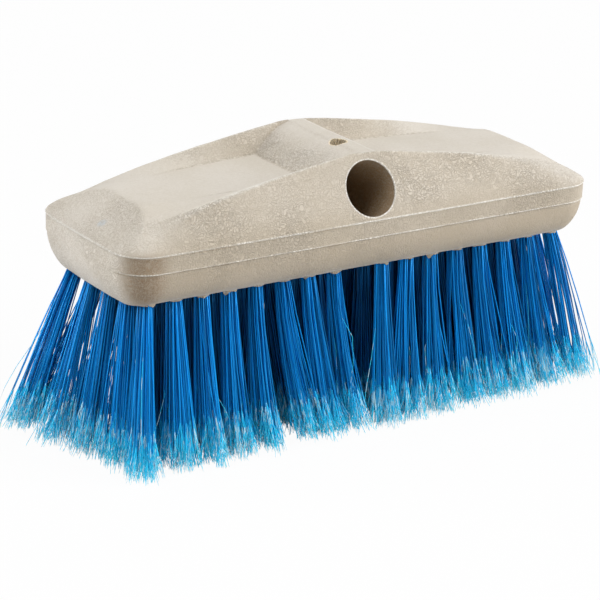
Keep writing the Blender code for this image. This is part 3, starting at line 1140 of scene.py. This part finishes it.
def makeBristles(nodes, material):
    roots = {name: rootsOf(node) for name, node in nodes.items() if name.startswith("tuft_")}
    places = [root for tufts in roots.values() for root in tufts]
    tuftColumns = sorted({round(root.x, 3) for root in places})
    tuftRows = sorted({round(root.y, 3) for root in places})
    shafts = np.arange(bristle["filaments"])
    owners = np.concatenate(
        [shafts, np.repeat(shafts, bristle["fibres"]), shafts[:bristle["threads"]]]
    )
    spans = [bristle["shaftSpan"]] * len(shafts)
    spans += [bristle["fibreSpan"]] * len(shafts) * bristle["fibres"]
    spans += [bristle["threadSpan"]] * bristle["threads"]
    for number, name in enumerate(sorted(roots)):
        rng = np.random.default_rng(bristle["seed"] + number)
        paths, radii, columns = [], [], []
        for index, root in enumerate(roots[name]):
            lean = leanAt(*root, tuftColumns, tuftRows)
            ends = (root.x / tuftColumns[-1]) ** bristle["endPower"]
            path, radius = makeStrands(root, lean, ends, rng)
            paths.append(path)
            radii.append(radius)
            columns.append(owners + index * len(shafts))
        piece = makeBundle(
            name.replace("tuft", "bristles"),
            np.concatenate(paths),
            np.concatenate(radii),
            np.concatenate(columns),
            np.array(spans * len(roots[name])),
            material,
        )
        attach(piece, "root")
        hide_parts(name)
    print("bristles:", len(spans) * len(places), "strands in", len(roots), "bundles")
    return places


# Floor, light and camera

stage = {
    "floorSize": 4.0,
    "floorColour": (0.80, 0.80, 0.80),
    "floorRoughness": 0.9,
    "floorWhiteness": 0.96,
    "ambient": 0.05,
    # Each lamp's name, place, size and power
    "lamps": (
        ("overhead_lamp", (0.30, 0.90, 2.40), 2.0, 10.0),
        ("high_left_lamp", (-1.60, -0.40, 2.10), 1.8, 38.0),
        ("low_left_lamp", (-1.90, 1.40, 0.40), 1.2, 30.0),
        ("right_lamp", (1.65, -1.52, 1.15), 1.6, 64.0),
    ),
}
view = {
    "azimuth": math.radians(34.48),
    "elevation": math.radians(19.97),
    "roll": math.radians(2.53),
    "distance": 938.2,  # in millimetres
    "target": Vector((-8.28, 0.0, 43.77)) * mm,
    "lens": 152.73,
    "sensor": 36.0,
}


def makeFloor():
    builder = bmesh.new()
    bmesh.ops.create_grid(builder, x_segments=2, y_segments=2, size=stage["floorSize"] / 2)
    material, tree, shader = startMaterial("pale_floor")
    shader.inputs["Base Color"].default_value = (*stage["floorColour"], 1.0)
    shader.inputs["Roughness"].default_value = stage["floorRoughness"]
    glow = addNode(tree, "ShaderNodeEmission", {"Color": white, "Strength": 1.0}).outputs[0]
    rays = addNode(tree, "ShaderNodeLightPath", {}).outputs
    share = addTimes(tree, rays["Is Camera Ray"], stage["floorWhiteness"])
    mix = addNode(tree, "ShaderNodeMixShader", {0: share, 1: shader.outputs[0], 2: glow})
    tree.links.new(mix.outputs[0], tree.nodes["Material Output"].inputs["Surface"])
    floor = meshObject("floor", builder, material)


def makeWorld():
    # White where it is seen, in the open or by reflection, and a faint light otherwise
    world = bpy.data.worlds.new("studio")
    world.use_nodes = True
    bpy.context.scene.world = world
    tree = world.node_tree
    background = tree.nodes["Background"]
    rays = addNode(tree, "ShaderNodeLightPath", {}).outputs
    seen = addMath(tree, "MAXIMUM", rays["Is Glossy Ray"], rays["Is Transmission Ray"])
    seen = addMath(tree, "MAXIMUM", rays["Is Camera Ray"], seen)
    inputs = {"Value": seen, "To Min": stage["ambient"], "To Max": 1.0}
    strength = addNode(tree, "ShaderNodeMapRange", inputs)
    background.inputs["Color"].default_value = white
    tree.links.new(strength.outputs[0], background.inputs["Strength"])


def makeLamps():
    for name, place, size, power in stage["lamps"]:
        lamp = bpy.data.lights.new(name, "AREA")
        lamp.shape = "SQUARE"
        lamp.size = size
        lamp.energy = power
        holder = bpy.data.objects.new(name, lamp)
        holder.location = place
        towards = view["target"] - Vector(place)
        holder.rotation_euler = towards.to_track_quat("-Z", "Y").to_euler()
        bpy.context.scene.collection.objects.link(holder)


def makeCamera():
    turn, tilt, roll = view["azimuth"], view["elevation"], view["roll"]
    ahead = Vector(
        (math.sin(turn) * math.cos(tilt), math.cos(turn) * math.cos(tilt), -math.sin(tilt))
    )
    level = Vector((math.cos(turn), -math.sin(turn), 0.0))
    upright = level.cross(ahead)
    right = level * math.cos(roll) + upright * math.sin(roll)
    up = upright * math.cos(roll) - level * math.sin(roll)
    lens = bpy.data.cameras.new("photo_camera")
    lens.lens = view["lens"]
    lens.sensor_width = view["sensor"]
    camera = bpy.data.objects.new("photo_camera", lens)
    place = Matrix.Translation(view["target"] - ahead * view["distance"] * mm)
    camera.matrix_world = place @ Matrix((right, up, -ahead)).transposed().to_4x4()
    bpy.context.scene.collection.objects.link(camera)
    bpy.context.scene.camera = camera


tuftRoots = makeBristles(frame["nodes"], makeBristle())
foam = makeBlock(tuftRoots)
makeBurrs(tuftRoots, foam)
makeFloor()
makeWorld()
makeCamera()
makeLamps()
bpy.context.scene.view_settings.view_transform = "Standard"
print("floor, lamps and camera ready")
